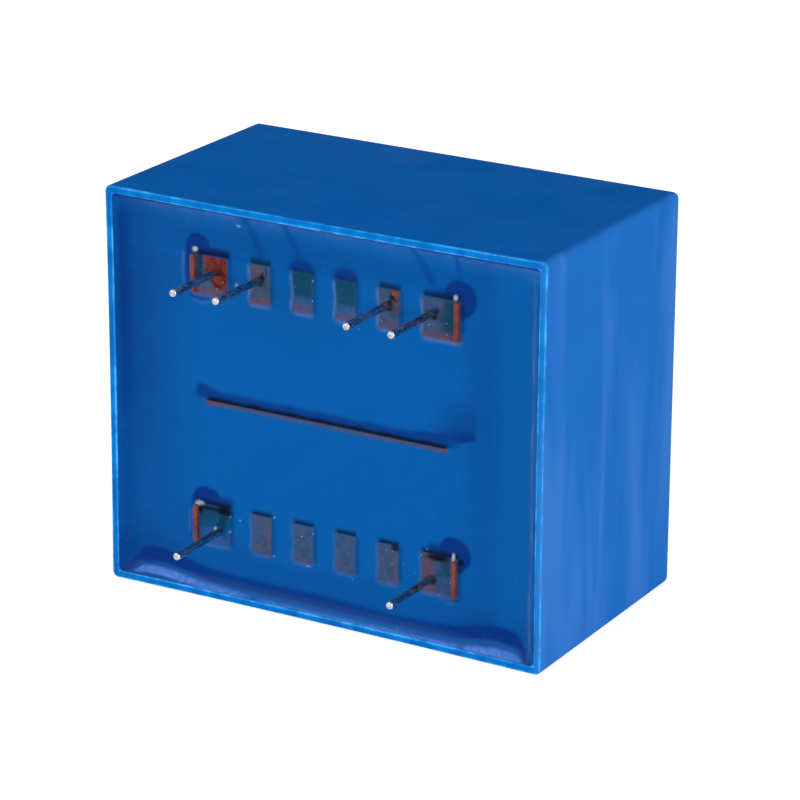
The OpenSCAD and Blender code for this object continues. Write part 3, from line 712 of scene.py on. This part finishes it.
def solder_material():
    material, tree, shader = new_material("solder")
    where = place_of(tree)
    cloud = noise(tree, where, 2.5, 3.0, 0.6)
    base = mix(tree, cloud, colour(150, 151, 156), colour(196, 196, 198))
    tree.links.new(base, shader.inputs["Base Color"])
    tree.links.new(bump(tree, cloud, 0.3, 0.02), shader.inputs["Normal"])
    shader.inputs["Roughness"].default_value = 0.3
    shader.inputs["Metallic"].default_value = 1.0
    return material


def lamination_material():
    material, tree, shader = new_material("silicon_steel_sheets")
    where = place_of(tree, (0.05, 1, 0.05))
    sheets = noise(tree, where, 2.0, 1.0, 0.5)
    base = mix(tree, sheets, colour(92, 95, 100), colour(150, 152, 156))
    tree.links.new(base, shader.inputs["Base Color"])
    tree.links.new(bump(tree, sheets, 0.4, 0.05), shader.inputs["Normal"])
    shader.inputs["Roughness"].default_value = 0.45
    shader.inputs["Metallic"].default_value = 0.9
    return material


def copper_material():
    material, tree, shader = new_material("enamelled_copper")
    where = place_of(tree, (0.1, 0.1, 1))
    turns = noise(tree, where, 5.0, 1.0, 0.5)
    base = mix(tree, turns, colour(140, 66, 30), colour(196, 110, 56))
    tree.links.new(base, shader.inputs["Base Color"])
    tree.links.new(bump(tree, turns, 0.5, 0.05), shader.inputs["Normal"])
    shader.inputs["Roughness"].default_value = 0.35
    shader.inputs["Metallic"].default_value = 0.8
    return material


def tape_material():
    material, tree, shader = new_material("insulating_tape")
    where = place_of(tree)
    cloud = noise(tree, where, 0.8, 3.0, 0.6)
    base = mix(tree, cloud, colour(214, 176, 58), colour(232, 204, 104))
    tree.links.new(base, shader.inputs["Base Color"])
    tree.links.new(bump(tree, cloud, 0.3, 0.05), shader.inputs["Normal"])
    shader.inputs["Roughness"].default_value = 0.4
    return material


def dress_solids():
    former, tin, solder = former_material(), tinned_material(), solder_material()
    sheets, copper, tape = lamination_material(), copper_material(), tape_material()
    for name, obj in nodes.items():
        if name == "bobbin":
            dress(obj, former)
        elif "pin" in name:
            dress(obj, tin)
        elif "solder" in name:
            dress(obj, solder)
        elif "laminations" in name:
            dress(obj, sheets)
        elif "winding" in name:
            dress(obj, copper)
        elif "tape" in name:
            dress(obj, tape)


# ------------------------------------------------------------ studio

def lamp(name, way, distance, width, height, strength):
    """A soft rectangular lamp that looks at the middle of the part; `strength` is its radiance."""
    way = Vector(way).normalized()
    data = bpy.data.lights.new(name, "AREA")
    data.shape = "RECTANGLE"
    data.size, data.size_y = width, height
    data.energy = strength * math.pi * width * height
    obj = bpy.data.objects.new(name, data)
    obj.location = way * distance + Vector((0, 0.01, 0))
    obj.rotation_euler = way.to_track_quat("Z", "Y").to_euler()
    bpy.context.scene.collection.objects.link(obj)
    return obj


def seen_ray(tree):
    path = node(tree, "ShaderNodeLightPath").outputs
    direct = maths(tree, "MAXIMUM", path["Is Camera Ray"], path["Is Glossy Ray"])
    return maths(tree, "MAXIMUM", direct, path["Is Transmission Ray"])


def build_studio():
    scene = bpy.context.scene
    world = bpy.data.worlds.new("studio")
    scene.world = world
    world.use_nodes = True
    tree = world.node_tree
    back = tree.nodes["Background"]
    tone = mix(tree, seen_ray(tree), (0.36, 0.36, 0.37, 1), (1, 1, 1, 1))
    tree.links.new(tone, back.inputs["Color"])

    bm = bmesh.new()
    bmesh.ops.create_grid(bm, x_segments=1, y_segments=1, size=4.0)
    bmesh.ops.translate(bm, vec=(0, 0, -CASE_H / 2 * MM), verts=bm.verts)
    mesh = bpy.data.meshes.new("studio_floor")
    bm.to_mesh(mesh)
    bm.free()
    floor = bpy.data.objects.new("studio_floor", mesh)
    scene.collection.objects.link(floor)
    material, tree, shader = new_material("studio_floor")
    shader.inputs["Base Color"].default_value = (0.8, 0.8, 0.8, 1)
    shader.inputs["Roughness"].default_value = 0.9
    shader.inputs["Specular IOR Level"].default_value = 0.0
    shader.inputs["Emission Color"].default_value = (1, 1, 1, 1)
    tree.links.new(maths(tree, "MULTIPLY", seen_ray(tree), 0.72), shader.inputs["Emission Strength"])
    dress(floor, material)

    lamp("front_softbox", (-0.42, -0.86, 0.30), 0.6, 0.45, 0.35, 3.2)
    lamp("right_softbox", (0.95, -0.30, 0.10), 0.6, 0.45, 0.45, 4.9)

    view = scene.view_settings
    view.view_transform = "Standard"


def build_camera():
    data = bpy.data.cameras.new("camera")
    data.sensor_width = 36.0
    data.lens = 176.2
    data.clip_start = 0.01
    data.dof.use_dof = False
    obj = bpy.data.objects.new("camera", data)
    bpy.context.scene.collection.objects.link(obj)
    ahead = Vector((-0.47490, 0.81412, -0.33419))
    spin = ahead.to_track_quat("-Z", "Y").to_matrix().to_4x4()
    roll = Matrix.Rotation(math.radians(CAMERA_ROLL), 4, "Z")
    obj.matrix_world = Matrix.Translation(Vector((192.48, -314.05, 133.51)) * MM) @ spin @ roll
    bpy.context.scene.camera = obj


CAMERA_ROLL = 0.34

dress_solids()
build_case(case_material())
build_resin(resin_material())
build_studio()
build_camera()
